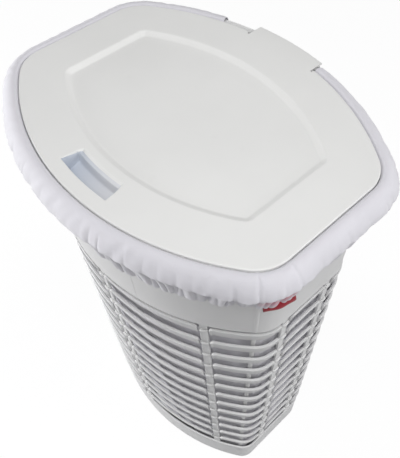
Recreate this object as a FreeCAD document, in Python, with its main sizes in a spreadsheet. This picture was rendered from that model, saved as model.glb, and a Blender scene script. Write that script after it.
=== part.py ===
import FreeCAD, Part
import Sketcher
import math
import os

# Laundry hamper with a hinged lid and a cloth liner. Millimetres, +Z up, base on z = 0.
# X is the long way, -Y is the front with the finger recess, +Y is the back with the hinge.

SIZES = {
    # outline of the basket wall at the floor, and how much it grows for each millimetre of height
    "wall_half_length": 170.0, "wall_half_length_rise": 0.0436,
    "wall_half_depth": 116.0, "wall_half_depth_rise": 0.056,
    "wall_end_half": 58.6, "wall_end_half_rise": 0.003,
    "wall_corner": 24.6, "wall_corner_rise": 0.0288,
    # outline of the lid and of its sunk panel
    "lid_half_length": 200.0, "lid_half_depth": 153.5, "lid_end_half": 79.0, "lid_corner": 45.0,
    "panel_half_length": 148.0, "panel_half_depth": 103.0, "panel_end_half": 55.6, "panel_corner": 12.0,
    # basket heights
    "base_top": 54.3, "floor_level": 5.0, "floor_thick": 3.0, "moulded_wall": 2.5,
    "slat_first_top": 482.0, "slat_pitch": 32.9, "slat_height": 20.5, "slat_lean": 1.6,
    "band_bottom": 486.5, "rim_bottom": 617.0,
    # ribs, ties and posts
    "rib_wide": 9.6, "rib_thick": 2.5, "rib_inset": 1.0, "rib_slot": 13.4,
    "side_rib_top": 134.0, "side_rib_low": 129.0, "end_rib_top": 35.0, "end_rib_low": 30.0,
    "tie_radius": 2.3, "tie_long": 9.0, "tie_drop": 11.0,
    "post_radius": 1.4, "post_inset": 5.9,
    # rim
    "ledge_thick": 2.5, "ledge_reach": 5.0, "upright_inner": 2.5, "flange_reach": 18.0,
    "flange_level": 630.0, "flange_thick": 2.5, "lip_drop": 22.0, "lip_thick": 2.5,
    # lid
    "lid_top": 637.0, "lid_plate": 5.5, "lid_skin": 2.5, "lid_edge_low": 621.0, "panel_sink": 3.0,
    "panel_bevel": 8.0, "tab_half_wide": 48.5, "tab_reach": 16.0,
    "recess_half_wide": 35.0, "recess_back": 112.5, "recess_front": 136.0, "recess_under": 141.0,
    "recess_deep": 18.0, "recess_back_deep": 7.0, "recess_wall": 2.0,
    # hinge
    "hinge_side": -4.5, "axis_back": 164.0, "axis_level": 630.0, "pin_radius": 2.0, "pin_half_long": 47.0,
    "barrel_radius": 4.5, "barrel_bore": 2.06, "barrel_start": 16.0, "barrel_long": 24.0,
    "lug_radius": 4.2, "lug_bore": 2.03, "lug_thick": 4.0, "lug_leg_low": 612.0,
    "lug_bar_half_long": 45.0, "lug_bar_low": 610.0, "lug_bar_high": 13.5, "lug_bar_thick": 3.0,
    "notch_half_wide": 52.0, "notch_front": 159.0, "notch_low": 600.0, "notch_deep": 20.0, "notch_high": 40.0,
    # cloth liner
    "liner_inset": 7.6, "liner_skin": 1.2, "liner_floor": 8.4, "liner_top": 616.5,
    "cuff_hem_level": 558.0, "cuff_hem_reach": 6.8, "cuff_bulge_level": 616.0, "cuff_bulge": 24.5,
    "cuff_top_reach": 19.5, "cuff_top": 634.5, "cuff_hole": 1.2, "cuff_skin": 1.5,
    "bare_from": 97.0, "bare_to": 48.5,
    "elastic_in": 0.8, "elastic_out": 3.6, "elastic_low": 559.0, "elastic_high": 564.0,
    "tag_long": 34.0, "tag_thick": 1.0, "tag_high": 8.0,
    "tag_low": 549.3, "tag_side": 190.6, "tag_front": 74.7, "tag_heading": 70.1,
}

SLAT_ROWS = 13
TAB_ROOT = 140.0    # where the hinge tab leaves the lid plate, and how far its cutter reaches
TAB_REACH = 40.0
LUG_PLACES = (-43.0, -12.0, 12.0, 43.0)
GUARD = 0.2         # clearance between neighbouring mouldings of the basket
SLOT_DEEP = 20.0    # the cutters that part the slats reach right through the wall
SLOT_OUT = 8.0
DRILL_LONG = 110.0  # long enough to bore every eye on the hinge axis
CUTTER_FRONT = 60.0  # the block that leaves the rim bare at the back of the cuff
CUTTER_LOW = 500.0
CUTTER_DEEP = 160.0
CUTTER_HIGH = 180.0


class Amount:
    """A number together with the sheet expression that gives it."""

    def __init__(self, value, text):
        self.value = value
        self.text = text

    def __add__(self, other):
        other = amount(other)
        return Amount(self.value + other.value, "(%s + %s)" % (self.text, other.text))

    def __sub__(self, other):
        other = amount(other)
        return Amount(self.value - other.value, "(%s - %s)" % (self.text, other.text))

    def __mul__(self, other):
        other = amount(other)
        return Amount(self.value * other.value, "(%s * %s)" % (self.text, other.text))

    def __truediv__(self, other):
        other = amount(other)
        return Amount(self.value / other.value, "(%s / %s)" % (self.text, other.text))

    def __neg__(self):
        return Amount(-self.value, "(0 - %s)" % self.text)


def amount(thing):
    if isinstance(thing, Amount):
        return thing
    return Amount(float(thing), "%.6g" % thing)


def size(name):
    return Amount(SIZES[name], "sizes." + name)


doc = FreeCAD.newDocument("hamper")
sheet = doc.addObject("Spreadsheet::Sheet", "sizes")
for row, (alias, number) in enumerate(SIZES.items(), start=1):
    sheet.set("A%d" % row, alias)
    sheet.set("B%d" % row, repr(number))
    sheet.setAlias("B%d" % row, alias)
doc.recompute()

NODES = []


def keep(thing, label):
    """Mark a finished object as one node of the model."""
    thing.Label = label
    NODES.append(thing)
    return thing


def bind(thing, **properties):
    for name, value in properties.items():
        setattr(thing, name, amount(value).value)
        if "sizes." in amount(value).text:
            thing.setExpression(name, amount(value).text)


def place(thing, x, y, z, rotation=None):
    thing.Placement = FreeCAD.Placement(FreeCAD.Vector(x, y, z), rotation or FreeCAD.Rotation())
    return thing


# ---------------------------------------------------------------- outlines

def outline(kind, grow=0, level=0):
    """Half length, long-side radius, long-side centre and corner radius of one barrel outline."""
    length, depth = size(kind + "_half_length"), size(kind + "_half_depth")
    end, corner = size(kind + "_end_half"), size(kind + "_corner")
    if kind == "wall":
        level = amount(level)
        length = length + size("wall_half_length_rise") * level
        depth = depth + size("wall_half_depth_rise") * level
        end = end + size("wall_end_half_rise") * level
        corner = corner + size("wall_corner_rise") * level
    bow = depth - end
    radius = (length * length + bow * bow) / (bow * 2)
    return length + grow, radius + grow, depth - radius, corner + grow


def corner_point(shape):
    """Centre of the corner fillet in the +X +Y quarter, and its angle to the long side."""
    half, radius, centre, corner = [part.value for part in shape]
    x = half - corner
    y = centre + math.sqrt((radius - corner) ** 2 - x ** 2)
    return x, y, math.atan2(y - centre, x)


def side_y(shape, x):
    """Half depth of an outline at a distance x from the middle."""
    return shape[2].value + math.sqrt(shape[1].value ** 2 - x ** 2)


def plane(body, role):
    for feature in body.Origin.OriginFeatures:
        if feature.Role == role:
            return feature
    raise RuntimeError("no plane " + role)


def outline_sketch(body, name, level, shapes):
    """A fully constrained sketch of one or more barrel outlines at one level."""
    sketch = body.newObject("Sketcher::SketchObject", name)
    sketch.AttachmentSupport = [(plane(body, "XY_Plane"), "")]
    sketch.MapMode = "FlatFace"
    sketch.AttachmentOffset = FreeCAD.Placement(FreeCAD.Vector(0, 0, amount(level).value), FreeCAD.Rotation())
    if "sizes." in amount(level).text:
        sketch.setExpression("AttachmentOffset.Base.z", amount(level).text)
    for count, shape in enumerate(shapes):
        add_outline(sketch, shape, "ring%d_" % count)
    if sketch.solve() != 0:
        raise RuntimeError("sketch did not solve: " + name)
    return sketch


def add_outline(sketch, shape, tag):
    half, radius, centre, corner = [part.value for part in shape]
    x, y, turn = corner_point(shape)
    up = FreeCAD.Vector(0, 0, 1)

    def arc(cx, cy, r, start, stop):
        circle = Part.Circle(FreeCAD.Vector(cx, cy, 0), up, r)
        return sketch.addGeometry(Part.ArcOfCircle(circle, start, stop), False)

    def line(x0, y0, x1, y1):
        ends = FreeCAD.Vector(x0, y0, 0), FreeCAD.Vector(x1, y1, 0)
        return sketch.addGeometry(Part.LineSegment(*ends), False)

    right = line(half, -y, half, y)
    corner_a = arc(x, y, corner, 0, turn)
    back = arc(0, centre, radius, turn, math.pi - turn)
    corner_b = arc(-x, y, corner, math.pi - turn, math.pi)
    left = line(-half, y, -half, -y)
    corner_c = arc(-x, -y, corner, math.pi, math.pi + turn)
    front = arc(0, -centre, radius, math.pi + turn, 2 * math.pi - turn)
    corner_d = arc(x, -y, corner, 2 * math.pi - turn, 2 * math.pi)
    loop = [right, corner_a, back, corner_b, left, corner_c, front, corner_d]
    for this, following in zip(loop, loop[1:] + loop[:1]):
        sketch.addConstraint(Sketcher.Constraint("Tangent", this, 2, following, 1))

    def named(label, value, constraint):
        index = sketch.addConstraint(constraint)
        sketch.renameConstraint(index, tag + label)
        sketch.setExpression("Constraints." + tag + label, value.text)

    sketch.addConstraint(Sketcher.Constraint("Vertical", right))
    sketch.addConstraint(Sketcher.Constraint("Vertical", left))
    named("right", shape[0], Sketcher.Constraint("DistanceX", -1, 1, right, 1, half))
    named("left", shape[0], Sketcher.Constraint("DistanceX", left, 1, -1, 1, half))
    for arc_index, label, sign in ((back, "back", 1), (front, "front", -1)):
        sketch.addConstraint(Sketcher.Constraint("PointOnObject", arc_index, 3, -2))
        named(label + "_radius", shape[1], Sketcher.Constraint("Radius", arc_index, radius))
        value = shape[2] if sign > 0 else -shape[2]
        named(label + "_centre", value, Sketcher.Constraint("DistanceY", -1, 1, arc_index, 3, sign * centre))
    named("corner", shape[3], Sketcher.Constraint("Radius", corner_a, corner))
    for other in (corner_b, corner_c, corner_d):
        sketch.addConstraint(Sketcher.Constraint("Equal", corner_a, other))


def loft(body, name, kind, stations):
    """Add or cut a straight-sided loft through (level, outline) stations."""
    sketches = []
    for count, (level, shape) in enumerate(stations):
        sketches.append(outline_sketch(body, "%s_at_%d" % (name, count), level, [shape]))
    feature = body.newObject("PartDesign::%sLoft" % kind, name)
    feature.Profile = sketches[0]
    feature.Sections = [(sketch, [""]) for sketch in sketches[1:]]
    feature.Ruled = True
    doc.recompute()
    return feature


def ring_pad(body, name, low, high, outer, inner):
    """Pad the ring between two outlines from one level up to another."""
    sketch = outline_sketch(body, name + "_plan", low, [outer, inner])
    pad = body.newObject("PartDesign::Pad", name)
    pad.Profile = sketch
    bind(pad, Length=amount(high) - low)
    doc.recompute()
    return pad


def new_body(name):
    return doc.addObject("PartDesign::Body", name)


def cut(name, base, tools):
    feature = doc.addObject("Part::Cut", name)
    feature.Base = base
    feature.Tool = tools
    return feature


def group(name, members):
    feature = doc.addObject("Part::Compound", name)
    feature.Links = members
    return feature


def box(name, low, spans):
    feature = doc.addObject("Part::Box", name)
    bind(feature, Length=spans[0], Width=spans[1], Height=spans[2])
    return place(feature, *[amount(value).value for value in low])


def rod(name, radius, length, middle, along):
    """A cylinder given by its middle point and direction."""
    feature = doc.addObject("Part::Cylinder", name)
    bind(feature, Radius=radius, Height=length)
    along = FreeCAD.Vector(*along)
    along.normalize()
    start = FreeCAD.Vector(*middle) - along * (amount(length).value / 2)
    turn = FreeCAD.Rotation(FreeCAD.Vector(0, 0, 1), along)
    return place(feature, start.x, start.y, start.z, turn)


# ---------------------------------------------------------------- basket mouldings

def make_base():
    wall, top = size("moulded_wall"), size("base_top")
    low = size("floor_level")
    floor = low + size("floor_thick")
    body = new_body("base_tray_body")
    loft(body, "tray", "Additive", [(0, outline("wall")), (top, outline("wall", 0, top))])
    loft(body, "inside", "Subtractive",
         [(floor, outline("wall", -wall, floor)), (top, outline("wall", -wall, top))])
    loft(body, "underside", "Subtractive", [(0, outline("wall", -wall)), (low, outline("wall", -wall, low))])
    return keep(body, "base_tray")


def slat_levels(row):
    top = size("slat_first_top") - size("slat_pitch") * row
    return top - size("slat_height"), top


def make_slat_row(row, slots):
    wall, lean = size("moulded_wall"), size("slat_lean")
    low, top = slat_levels(row)
    body = new_body("slat_ring_%02d" % (row + 1))
    loft(body, "face", "Additive", [(low, outline("wall", -lean, low)), (top, outline("wall", 0, top))])
    loft(body, "hollow", "Subtractive",
         [(low, outline("wall", -(lean + wall), low)), (top, outline("wall", -wall, top))])
    return keep(cut("slat_cut_%02d" % (row + 1), body, slots), "slat_row_%02d" % (row + 1))


def wall_frame(side, place_low, place_top, inset, level):
    """Point on the wall, tangent and outward normal for a rib of one side at one level."""
    low, top = SIZES["base_top"], SIZES["band_bottom"]
    share = (level - low) / (top - low)
    along = place_low + (place_top - place_low) * share
    shape = outline("wall", -inset, level)
    if side in ("front", "back"):
        sign = 1 if side == "back" else -1
        x, y = along, sign * side_y(shape, along)
        normal = FreeCAD.Vector(x, y - sign * shape[2].value, 0)
    else:
        sign = 1 if side == "right" else -1
        x, y = sign * shape[0].value, along
        normal = FreeCAD.Vector(sign, 0, 0)
    normal.normalize()
    return FreeCAD.Vector(x, y, level), normal.cross(FreeCAD.Vector(0, 0, 1)), normal


def rib_places():
    """(side, place at the base, place at the band) of every rib."""
    top, low = SIZES["side_rib_top"], SIZES["side_rib_low"]
    end_top, end_low = SIZES["end_rib_top"], SIZES["end_rib_low"]
    places = []
    for side in ("front", "back"):
        places += [(side, -low, -top), (side, 0.0, 0.0), (side, low, top)]
    for side in ("left", "right"):
        places += [(side, -end_low, -end_top), (side, end_low, end_top)]
    return places


def rib_frame(where, low, high):
    """Foot, rise, tangent and inward direction of the flat strip that leans with the wall."""
    foot, tangent, normal = wall_frame(*where, SIZES["rib_inset"], low)
    head = wall_frame(*where, SIZES["rib_inset"], high)[0]
    rise = head - foot
    up = FreeCAD.Vector(rise)
    up.normalize()
    if up.cross(tangent).dot(normal) > 0:
        tangent = -tangent
    return foot, rise, tangent, up.cross(tangent)


def rib_box(name, where, wide, thick, out, low, high):
    """A box along a rib, with its outer face moved out from the rib's own."""
    foot, rise, tangent, inward = rib_frame(where, low, high)
    feature = doc.addObject("Part::Box", name)
    bind(feature, Length=wide, Width=thick, Height=rise.Length)
    turn = FreeCAD.Rotation(tangent, inward, rise, "ZXY")
    corner = foot - tangent * (amount(wide).value / 2) - inward * out
    return place(feature, corner.x, corner.y, corner.z, turn)


def make_rib_slots():
    """One tall cutter for each rib, wide enough to keep the slat ends off the strip."""
    cutters = []
    for count, where in enumerate(rib_places()):
        name = "rib_slot_%02d" % count
        cutters.append(rib_box(name, where, size("rib_slot"), SLOT_DEEP, SLOT_OUT,
                               SIZES["base_top"], SIZES["band_bottom"]))
    return group("rib_slots", cutters)


def make_ribs():
    strips = {}
    for count, where in enumerate(rib_places()):
        strip = rib_box("rib_%02d" % count, where, size("rib_wide"), size("rib_thick"),
                        0, SIZES["base_top"] + GUARD, SIZES["band_bottom"] - GUARD)
        strips.setdefault(where[0], []).append(strip)
    for side, members in strips.items():
        keep(group(side + "_rib_group", members), side + "_ribs")


def make_ties():
    """Short round bars that look like the crossings of a woven wall."""
    bars = {}
    low, high = SIZES["base_top"] + GUARD, SIZES["band_bottom"] - GUARD
    for count, where in enumerate(rib_places()):
        foot, rise, tangent, inward = rib_frame(where, low, high)
        for row in range(SLAT_ROWS):
            level = slat_levels(row)[1].value - SIZES["tie_drop"]
            share = (level - low) / (high - low)
            point = foot + rise * share - inward * (SIZES["tie_radius"] + GUARD)
            bar = rod("tie_%02d_%02d" % (count, row), size("tie_radius"), size("tie_long"), point, tangent)
            bars.setdefault(where[0], []).append(bar)
    for side, members in bars.items():
        keep(group(side + "_tie_group", members), side + "_weave_ties")


def make_posts():
    """Thin upright rods behind the slats, one where each long side meets its corner."""
    posts = []
    low, high = SIZES["base_top"] + GUARD, SIZES["band_bottom"] - GUARD
    for sign_x in (-1, 1):
        for sign_y in (-1, 1):
            ends = []
            for level in (low, high):
                shape = outline("wall", -SIZES["post_inset"], level)
                x, y, turn = corner_point(shape)
                corner = shape[3].value
                x = x + corner * math.cos(turn)
                y = y + corner * math.sin(turn)
                ends.append(FreeCAD.Vector(sign_x * x, sign_y * y, level))
            middle = (ends[0] + ends[1]) * 0.5
            rise = ends[1] - ends[0]
            posts.append(rod("post_%d" % len(posts), size("post_radius"), rise.Length, middle, rise))
    return keep(group("post_group", posts), "corner_posts")


def make_band():
    wall, low, top = size("moulded_wall"), size("band_bottom"), size("rim_bottom")
    body = new_body("top_band_body")
    loft(body, "band", "Additive", [(low, outline("wall", 0, low)), (top, outline("wall", 0, top))])
    loft(body, "hollow", "Subtractive",
         [(low, outline("wall", -wall, low)), (top, outline("wall", -wall, top))])
    return keep(body, "top_band")


def make_rim():
    low = size("rim_bottom")
    ledge = low + size("ledge_thick")
    flange = size("flange_level")
    under = flange - size("flange_thick")
    reach, inner = size("ledge_reach"), size("upright_inner")
    lip = size("flange_reach")
    body = new_body("rim_body")
    mouth = outline("wall", -size("moulded_wall"), low)
    ring_pad(body, "ledge", low, ledge, outline("lid", reach), mouth)
    ring_pad(body, "upright", ledge, under, outline("lid", reach), outline("lid", inner))
    ring_pad(body, "flange", under, flange, outline("lid", lip), outline("lid", inner))
    ring_pad(body, "lip", flange - size("lip_drop"), under, outline("lid", lip),
             outline("lid", lip - size("lip_thick")))
    half = size("notch_half_wide")
    notch = box("hinge_notch", (size("hinge_side") - half, size("notch_front"), size("notch_low")),
                (half * 2, size("notch_deep"), size("notch_high")))
    return keep(cut("rim_cut", body, notch), "rim")


# ---------------------------------------------------------------- hinge

def make_pin():
    middle = (SIZES["hinge_side"], SIZES["axis_back"], SIZES["axis_level"])
    pin = rod("pin_rod", size("pin_radius"), size("pin_half_long") * 2, middle, (1, 0, 0))
    return keep(pin, "hinge_pin")


def make_lugs():
    """Four ears on a short bar carry the pin."""
    side, y, z = SIZES["hinge_side"], SIZES["axis_back"], SIZES["axis_level"]
    thick, foot = size("lug_thick"), size("lug_leg_low")
    front = size("notch_front") + GUARD
    half = size("lug_bar_half_long")
    pieces = [box("lug_bar", (size("hinge_side") - half, front, size("lug_bar_low")),
                  (half * 2, size("lug_bar_thick"), size("lug_bar_high")))]
    leg_deep = size("axis_back") + size("lug_bar_thick") - front
    for count, place_along in enumerate(LUG_PLACES):
        x = side + place_along
        pieces.append(rod("lug_eye_%d" % count, size("lug_radius"), thick, (x, y, z), (1, 0, 0)))
        low = (x - thick.value / 2, front, foot)
        pieces.append(box("lug_leg_%d" % count, low, (thick, leg_deep, size("axis_level") - foot)))
    fused = doc.addObject("Part::MultiFuse", "lug_fuse")
    fused.Shapes = pieces
    bore = rod("lug_bore_rod", size("lug_bore"), DRILL_LONG, (side, y, z), (1, 0, 0))
    return keep(cut("lug_cut", fused, bore), "hinge_lugs")


def make_barrels():
    y, z = SIZES["axis_back"], SIZES["axis_level"]
    long, radius = size("barrel_long"), SIZES["barrel_radius"]
    web_top = SIZES["lid_top"] - SIZES["lid_skin"]
    pieces = []
    for count, sign in enumerate((-1, 1)):
        x = SIZES["hinge_side"] + sign * (SIZES["barrel_start"] + long.value / 2)
        eye = rod("barrel_%d" % count, size("barrel_radius"), long, (x, y, z), (1, 0, 0))
        web = box("barrel_web_%d" % count, (x - long.value / 2, y - radius, z), (long, radius, web_top - z))
        joined = doc.addObject("Part::MultiFuse", "barrel_fuse_%d" % count)
        joined.Shapes = [eye, web]
        bore = rod("barrel_bore_%d" % count, size("barrel_bore"), DRILL_LONG, (x, y, z), (1, 0, 0))
        pieces.append(cut("barrel_cut_%d" % count, joined, bore))
    return keep(group("barrel_group", pieces), "lid_hinge_barrels")


# ---------------------------------------------------------------- lid

def side_profile(body, name, points):
    """A closed polygon in the YZ plane; points are (y, z) amounts."""
    sketch = body.newObject("Sketcher::SketchObject", name)
    sketch.AttachmentSupport = [(plane(body, "YZ_Plane"), "")]
    sketch.MapMode = "FlatFace"
    corners = [FreeCAD.Vector(amount(y).value, amount(z).value, 0) for y, z in points]
    for start, stop in zip(corners, corners[1:] + corners[:1]):
        sketch.addGeometry(Part.LineSegment(start, stop), False)
    count = len(points)
    for index in range(count):
        sketch.addConstraint(Sketcher.Constraint("Coincident", index, 2, (index + 1) % count, 1))
    for index, (y, z) in enumerate(points):
        for axis, value in (("DistanceX", amount(y)), ("DistanceY", amount(z))):
            number = sketch.addConstraint(Sketcher.Constraint(axis, -1, 1, index, 1, value.value))
            label = "corner%d_%s" % (index, axis)
            sketch.renameConstraint(number, label)
            if "sizes." in value.text:
                sketch.setExpression("Constraints." + label, value.text)
    return sketch


def make_lid():
    """The lid: a thin plate with a turned-down edge, a sunk panel, a recess window and a hinge tab."""
    top, plate, skin = size("lid_top"), size("lid_plate"), size("lid_skin")
    under = top - plate
    body = new_body("lid_body")
    loft(body, "plate", "Additive", [(under, outline("lid")), (top, outline("lid"))])
    ring_pad(body, "edge", size("lid_edge_low"), under, outline("lid"), outline("lid", -skin))
    bevel = size("panel_bevel")
    loft(body, "panel", "Subtractive",
         [(top, outline("panel")), (top - size("panel_sink"), outline("panel", -bevel))])
    # thin the border from below, so that the skin is even
    border = outline_sketch(body, "border_plan", under, [outline("lid", -skin), outline("panel", skin)])
    hollow = body.newObject("PartDesign::Pocket", "border_hollow")
    hollow.Profile = border
    hollow.Reversed = True
    bind(hollow, Length=plate - skin)
    doc.recompute()
    cut_recess_window(body, top, plate)
    return keep(join_tab(body, top, skin), "lid")


def join_tab(body, top, skin):
    """The hinge tab: the plate runs on over the rim, with its end parallel to the lid's back edge."""
    slab = new_body("tab_slab")
    reach = size("tab_reach")
    loft(slab, "tab_plate", "Additive", [(top - skin, outline("lid", reach)), (top, outline("lid", reach))])
    half = size("tab_half_wide")
    window = box("tab_window", (size("hinge_side") - half, TAB_ROOT, top - skin * 2),
                 (half * 2, TAB_REACH, skin * 3))
    tab = doc.addObject("Part::Common", "tab_common")
    tab.Base = slab
    tab.Tool = window
    fused = doc.addObject("Part::MultiFuse", "lid_fuse")
    fused.Shapes = [body, tab]
    return fused


def side_pocket(body, name, points, wide):
    """A pocket cut right across a side profile, wide along X."""
    pocket = body.newObject("PartDesign::Pocket", name)
    pocket.Profile = side_profile(body, name + "_profile", points)
    pocket.Midplane = True
    bind(pocket, Length=wide)
    doc.recompute()
    return pocket


def cut_recess_window(body, top, plate):
    """The hole in the plate through which the fingers reach into the cup."""
    back, front = -size("recess_back"), -size("recess_front")
    under = top - plate - 1
    corners = [(back, top + 1), (back, under), (front, under), (front, top + 1)]
    side_pocket(body, "recess_window", corners, size("recess_half_wide") * 2)


def make_finger_cup():
    """The cup below the window: its sloping floor runs on under the front strip of the plate."""
    top, skin = size("lid_top"), size("lid_skin")
    back, under = -size("recess_back"), -size("recess_under")
    wall, deep, shallow = size("recess_wall"), size("recess_deep"), size("recess_back_deep")
    rim_level = top - skin
    body = new_body("finger_cup_body")
    outer = [(back + wall, rim_level), (back + wall, top - shallow - wall),
             (under - wall, top - deep - wall), (under - wall, rim_level)]
    cup = body.newObject("PartDesign::Pad", "cup")
    cup.Profile = side_profile(body, "cup_profile", outer)
    cup.Midplane = True
    bind(cup, Length=(size("recess_half_wide") + wall) * 2)
    doc.recompute()
    inner = [(back, rim_level + 1), (back, top - shallow), (under, top - deep), (under, rim_level + 1)]
    side_pocket(body, "finger_space", inner, size("recess_half_wide") * 2)
    return keep(body, "finger_cup")


# ---------------------------------------------------------------- cloth

def make_liner():
    """The bag's side, a tube of cloth that narrows towards its foot."""
    inset, skin = size("liner_inset"), size("liner_skin")
    foot, top = size("liner_floor") + skin, size("liner_top")
    body = new_body("liner_body")
    loft(body, "bag", "Additive", [(foot, outline("wall", -inset, foot)), (top, outline("wall", -inset, top))])
    inner = inset + skin
    loft(body, "bag_inside", "Subtractive",
         [(foot, outline("wall", -inner, foot)), (top, outline("wall", -inner, top))])
    return keep(body, "liner_bag")


def make_liner_floor():
    """The panel sewn into the foot of the bag."""
    inset, low = size("liner_inset"), size("liner_floor")
    foot = low + size("liner_skin")
    body = new_body("liner_floor_body")
    loft(body, "bottom_panel", "Additive",
         [(low, outline("wall", -inset, low)), (foot, outline("wall", -inset, foot))])
    return keep(body, "liner_floor")


def make_cuff():
    hem, bulge, top = size("cuff_hem_level"), size("cuff_bulge_level"), size("cuff_top")
    reach, wide, crown = size("cuff_hem_reach"), size("cuff_bulge"), size("cuff_top_reach")
    skin = size("cuff_skin")
    body = new_body("cuff_body")
    loft(body, "outside", "Additive",
         [(hem, outline("wall", reach, hem)), (bulge, outline("lid", wide)), (top, outline("lid", crown))])
    loft(body, "inside", "Subtractive",
         [(hem, outline("wall", reach - skin, hem)), (bulge, outline("lid", wide - skin)),
          (top - skin, outline("lid", crown - skin))])
    mouth = outline("lid", size("cuff_hole"))
    loft(body, "mouth", "Subtractive", [(top - skin * 2, mouth), (top, mouth)])
    bare = box("bare_rim_gap", (-size("bare_from"), CUTTER_FRONT, CUTTER_LOW),
               (size("bare_from") + size("bare_to"), CUTTER_DEEP, CUTTER_HIGH))
    return keep(cut("cuff_cut", body, bare), "liner_cuff")


def make_elastic():
    low, high = size("elastic_low"), size("elastic_high")
    body = new_body("elastic_body")
    ring_pad(body, "elastic", low, high, outline("wall", size("elastic_out"), high),
             outline("wall", size("elastic_in"), high))
    return keep(body, "cuff_elastic")


def make_tag():
    """The folded label sewn into the hem at the front right corner."""
    tag = box("tag_box", (0, 0, 0), (size("tag_long"), size("tag_thick"), size("tag_high")))
    turn = FreeCAD.Rotation(FreeCAD.Vector(0, 0, 1), SIZES["tag_heading"])
    place(tag, SIZES["tag_side"], -SIZES["tag_front"], SIZES["tag_low"], turn)
    return keep(tag, "label_tag")


# ---------------------------------------------------------------- build and write

make_base()
slots = make_rib_slots()
for slat_row in range(SLAT_ROWS):
    make_slat_row(slat_row, slots)
make_ribs()
make_ties()
make_posts()
make_band()
make_rim()
make_pin()
make_lugs()
make_liner()
make_liner_floor()
make_cuff()
make_elastic()
make_tag()
make_lid()
make_finger_cup()
make_barrels()
doc.recompute()

for thing in doc.Objects:
    if "Invalid" in thing.State or "Error" in thing.State:
        raise RuntimeError("%s did not build: %s" % (thing.Label, thing.State))

os.makedirs("parts", exist_ok=True)
for thing in NODES:
    shape = thing.Shape
    if shape.isNull() or not shape.isValid():
        raise RuntimeError("bad shape: " + thing.Label)
    shape.exportStep("parts/%s.step" % thing.Label)
    bounds = shape.BoundBox
    print("%-22s %3d solids %9.1f mm3  x %.1f %.1f  y %.1f %.1f  z %.1f %.1f" % (
        thing.Label, len(shape.Solids), shape.Volume, bounds.XMin, bounds.XMax,
        bounds.YMin, bounds.YMax, bounds.ZMin, bounds.ZMax))
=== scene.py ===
import math

import bmesh
import bpy
import numpy as np
from bpy.props import FloatProperty, FloatVectorProperty, PointerProperty
from mathutils import Matrix, Vector


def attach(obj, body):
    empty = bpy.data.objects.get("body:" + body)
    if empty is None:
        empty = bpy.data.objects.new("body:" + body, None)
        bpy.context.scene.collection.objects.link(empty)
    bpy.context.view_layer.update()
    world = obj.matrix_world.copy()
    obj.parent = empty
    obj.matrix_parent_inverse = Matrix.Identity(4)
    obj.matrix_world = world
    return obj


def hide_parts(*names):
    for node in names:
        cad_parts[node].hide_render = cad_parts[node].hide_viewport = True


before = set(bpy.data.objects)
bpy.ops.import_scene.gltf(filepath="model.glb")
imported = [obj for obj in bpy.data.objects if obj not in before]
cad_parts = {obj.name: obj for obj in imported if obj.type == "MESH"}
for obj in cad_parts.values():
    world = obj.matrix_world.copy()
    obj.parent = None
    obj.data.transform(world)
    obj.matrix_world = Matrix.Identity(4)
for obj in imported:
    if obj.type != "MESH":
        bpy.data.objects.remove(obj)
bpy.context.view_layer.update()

bl_info = {
    "name": "Laundry Hamper",
    "version": (1, 0, 0),
    "blender": (4, 5, 0),
    "location": "View3D > Sidebar > Hamper",
    "description": "Builds the visible mouldings and cloth of a laundry hamper over its packed frame",
    "category": "Object",
}

MM = 0.001
BASKET, LID = "basket", "lid"
ROWS = 13
HINGE_SIDE = -4.5   # the hinge and its tab stand a little left of the middle
TAB_HALF, TAB_REACH = 48.5, 16.0
BARE_LEFT, BARE_RIGHT = -97.0, 48.5   # stretch of rim that the cuff leaves bare
RIM_NOTCH = 52.0   # half of the stretch in which the rim makes room for the tab

# heights in millimetres
TRAY_TOP, BAND_FOOT, BAND_TOP = 54.3, 486.5, 617.0

# the wall's outline: each size at the floor, and what it gains per millimetre of height
WALL_TAPER = ((170.0, 0.0436), (116.0, 0.056), (58.6, 0.003), (24.6, 0.0288))

# the finger recess in the lid, as distances in from the lid's edge
RECESS_FRONT, RECESS_BACK = 17.4, 41.0
RECESS_RUN = RECESS_BACK - RECESS_FRONT

# where the cuff's two seams meet the hem, and the ends of the label's sewn edge
FRONT_SEAM, SIDE_SEAM = (178.0, -92.0), (203.0, -46.0)
TAG_START, TAG_STOP = (189.6, -74.6), (201.4, -40.6)


# ------------------------------------------------------------------ settings

class HamperBasketSettings(bpy.types.PropertyGroup):
    """Sizes of the moulded basket, as the frame has them"""
    slat_top: FloatProperty(name="First slat top", description="Height of the highest slat's edge",
                            default=0.482, unit="LENGTH")
    slat_pitch: FloatProperty(name="Slat pitch", description="Distance from one slat to the next",
                              default=0.0329, unit="LENGTH")
    slat_height: FloatProperty(name="Slat height", description="Height of one slat's face",
                               default=0.0205, unit="LENGTH")
    slat_lean: FloatProperty(name="Slat lean",
                             description="How far a slat's foot is set in from its top edge",
                             default=0.0032, unit="LENGTH")
    wall: FloatProperty(name="Wall", description="Thickness of the moulded wall", default=0.0024,
                        unit="LENGTH")
    rib_width: FloatProperty(name="Rib width", description="Width of the upright strips between slats",
                             default=0.0096, unit="LENGTH")
    rib_slot: FloatProperty(name="Rib slot", description="Gap that the slats leave at a rib",
                            default=0.0134, unit="LENGTH")
    # a little darker than the lid's colour though both are the same white plastic: the difference is painted
    # shade on the walls
    colour: FloatVectorProperty(name="Colour", description="Colour of the basket's plastic", subtype="COLOR",
                                size=3, default=(0.73, 0.73, 0.73))


class HamperLidSettings(bpy.types.PropertyGroup):
    """Sizes of the lid"""
    top: FloatProperty(name="Top", description="Height of the lid's border", default=0.637, unit="LENGTH")
    panel_depth: FloatProperty(name="Panel depth", description="How far the middle panel is sunk",
                               default=0.0044, unit="LENGTH")
    edge_depth: FloatProperty(name="Edge depth", description="Height of the turned-down edge",
                              default=0.0155, unit="LENGTH")
    colour: FloatVectorProperty(name="Colour", description="Colour of the lid's plastic", subtype="COLOR",
                                size=3, default=(0.79, 0.79, 0.78))


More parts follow.
